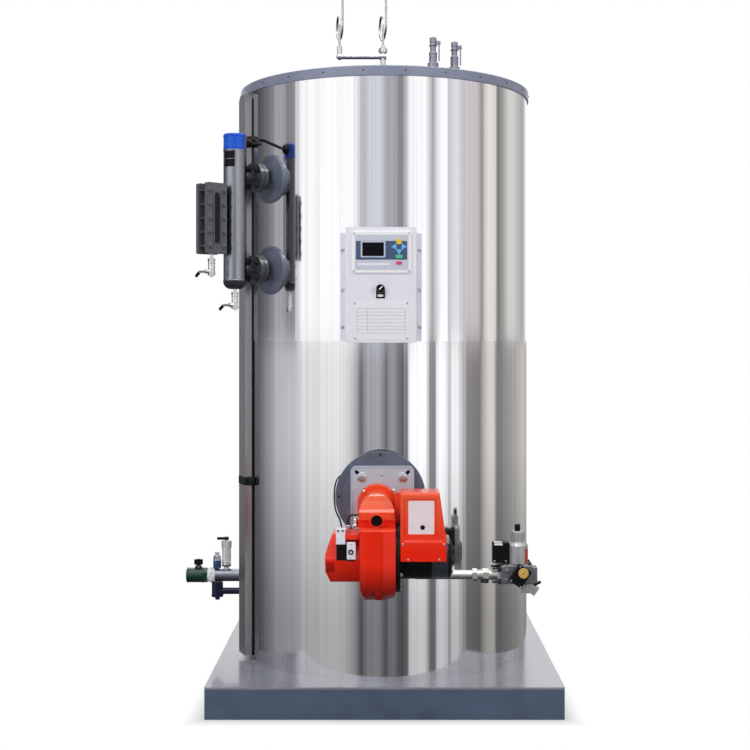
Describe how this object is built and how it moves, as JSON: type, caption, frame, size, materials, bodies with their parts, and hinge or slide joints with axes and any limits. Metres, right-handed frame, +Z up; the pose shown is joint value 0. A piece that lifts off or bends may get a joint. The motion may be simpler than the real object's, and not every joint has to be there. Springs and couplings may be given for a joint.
{
  "type": "vertical gas-fired steam boiler",
  "caption": "Upright round steam boiler in bright steel cladding on a square plinth, with a fan gas burner, control box, level gauge, feed valves and safety valves.",
  "frame": {"origin": "centre of the plinth's underside, on the boiler's own axis", "axes": "+Z up, -Y towards the side with the burner and the control box, +X to the viewer's right of it"},
  "size_m": [1.514, 1.5867, 2.93],
  "materials": {
    "plinth_paint": "semi-gloss",
    "cladding_steel": "bright brushed",
    "cover_paint": "satin",
    "fitting_paint": "satin",
    "trunking_steel": "brushed",
    "column_steel": "satin",
    "cap_blue": "gloss",
    "gauge_iron": "cast, painted",
    "sight_glass": "clear",
    "chrome_fitting": "polished",
    "lever_steel": "satin",
    "box_paint": "fine texture",
    "screen_plastic": "smooth",
    "black_plastic": "matt",
    "burner_aluminium": "cast, machined",
    "burner_orange": "gloss",
    "burner_red": "gloss",
    "motor_black": "satin",
    "gas_pipe_steel": "galvanised",
    "gas_union_zinc": "zinc plated",
    "gas_valve_alloy": "cast",
    "feed_pipe_steel": "satin",
    "feed_union_white": "smooth",
    "valve_green": "gloss",
    "valve_blue": "gloss",
    "strainer_blue": "semi-gloss",
    "fitting_brass": "nickel plated",
    "siphon_steel": "satin",
    "gauge_case": "polished",
    "controller_case": "satin"
  },
  "bodies": {
    "boiler": {"base_frame": "plinth_paint", "base_deck": "plinth_paint", "cladding_lower": "cladding_steel", "cladding_upper": "cladding_steel", "top_cover": "cover_paint", "lifting_lugs": "cover_paint", "flue_collar": "cover_paint", "steam_outlet": "fitting_paint", "blowdown_nozzle": "fitting_paint", "cable_trunking": "trunking_steel", "level_nozzles": "fitting_paint", "level_escutcheons": "cover_paint", "level_column": "column_steel", "electrode_cap": "cap_blue", "gauge_body": "gauge_iron", "gauge_covers": "gauge_iron", "gauge_glass": "sight_glass", "drain_cocks": "chrome_fitting", "control_box": "box_paint", "control_screen_panel": "screen_plastic", "burner_mount_ring": "cover_paint", "burner_flange": "burner_aluminium", "burner_head_housing": "burner_orange", "fan_volute": "burner_orange", "air_intake": "burner_orange", "air_pressure_switch": "black_plastic", "burner_control_cover": "burner_red", "fan_motor": "motor_black", "gas_pipe": "gas_pipe_steel", "gas_union": "gas_union_zinc", "gas_valve": "gas_valve_alloy", "gas_solenoid": "gas_valve_alloy", "gas_connector": "black_plastic", "gas_pressure_switch": "black_plastic", "gas_regulator": "gas_valve_alloy", "feed_pipe": "feed_pipe_steel", "feed_union": "feed_union_white", "feed_stop_valve": "valve_green", "feed_check_valve": "valve_blue", "feed_strainer": "strainer_blue", "vent_valve": "chrome_fitting", "pressure_manifold": "fitting_brass", "siphon_tubes": "siphon_steel", "pressure_gauge": "gauge_case", "pressure_controller": "controller_case", "safety_valves": "fitting_brass"},
    "gauge_drain_lever_body": {"gauge_drain_lever": "lever_steel"},
    "column_drain_lever_body": {"column_drain_lever": "lever_steel"},
    "feed_valve_handle_body": {"feed_valve_handle": "black_plastic"},
    "vent_valve_lever_body": {"vent_valve_lever": "black_plastic"},
    "safety_lever_front_body": {"safety_lever_front": "lever_steel"},
    "safety_lever_rear_body": {"safety_lever_rear": "lever_steel"},
    "selector_knob_body": {"selector_knob": "black_plastic"}
  },
  "joints": [
    {"name": "gauge_drain_turn", "type": "hinge", "parent": "boiler", "child": "gauge_drain_lever_body", "pos_m": [-0.65099, -0.58616, 1.661], "axis": [-0.7431, -0.6691, 0], "range_deg": [0, 90]},
    {"name": "column_drain_turn", "type": "hinge", "parent": "boiler", "child": "column_drain_lever_body", "pos_m": [-0.57148, -0.51456, 1.537], "axis": [-0.7431, -0.6691, 0], "range_deg": [0, 90]},
    {"name": "feed_valve_turn", "type": "hinge", "parent": "boiler", "child": "feed_valve_handle_body", "pos_m": [-0.797, 0.054, 0.45], "axis": [0, 0, 1], "range_deg": [0, 90]},
    {"name": "vent_valve_turn", "type": "hinge", "parent": "boiler", "child": "vent_valve_lever_body", "pos_m": [-0.677, 0.054, 0.552], "axis": [0, 0, 1], "range_deg": [0, 90]},
    {"name": "safety_lever_front_lift", "type": "hinge", "parent": "boiler", "child": "safety_lever_front_body", "pos_m": [0.218, -0.3005, 2.592], "axis": [0, -1, 0], "range_deg": [0, 30]},
    {"name": "safety_lever_rear_lift", "type": "hinge", "parent": "boiler", "child": "safety_lever_rear_body", "pos_m": [0.308, -0.2235, 2.592], "axis": [0, -1, 0], "range_deg": [0, 30]},
    {"name": "selector_turn", "type": "hinge", "parent": "boiler", "child": "selector_knob_body", "pos_m": [-0.0146, -0.732, 1.5924], "axis": [0, -1, 0], "range_deg": [0, 90]}
  ]
}
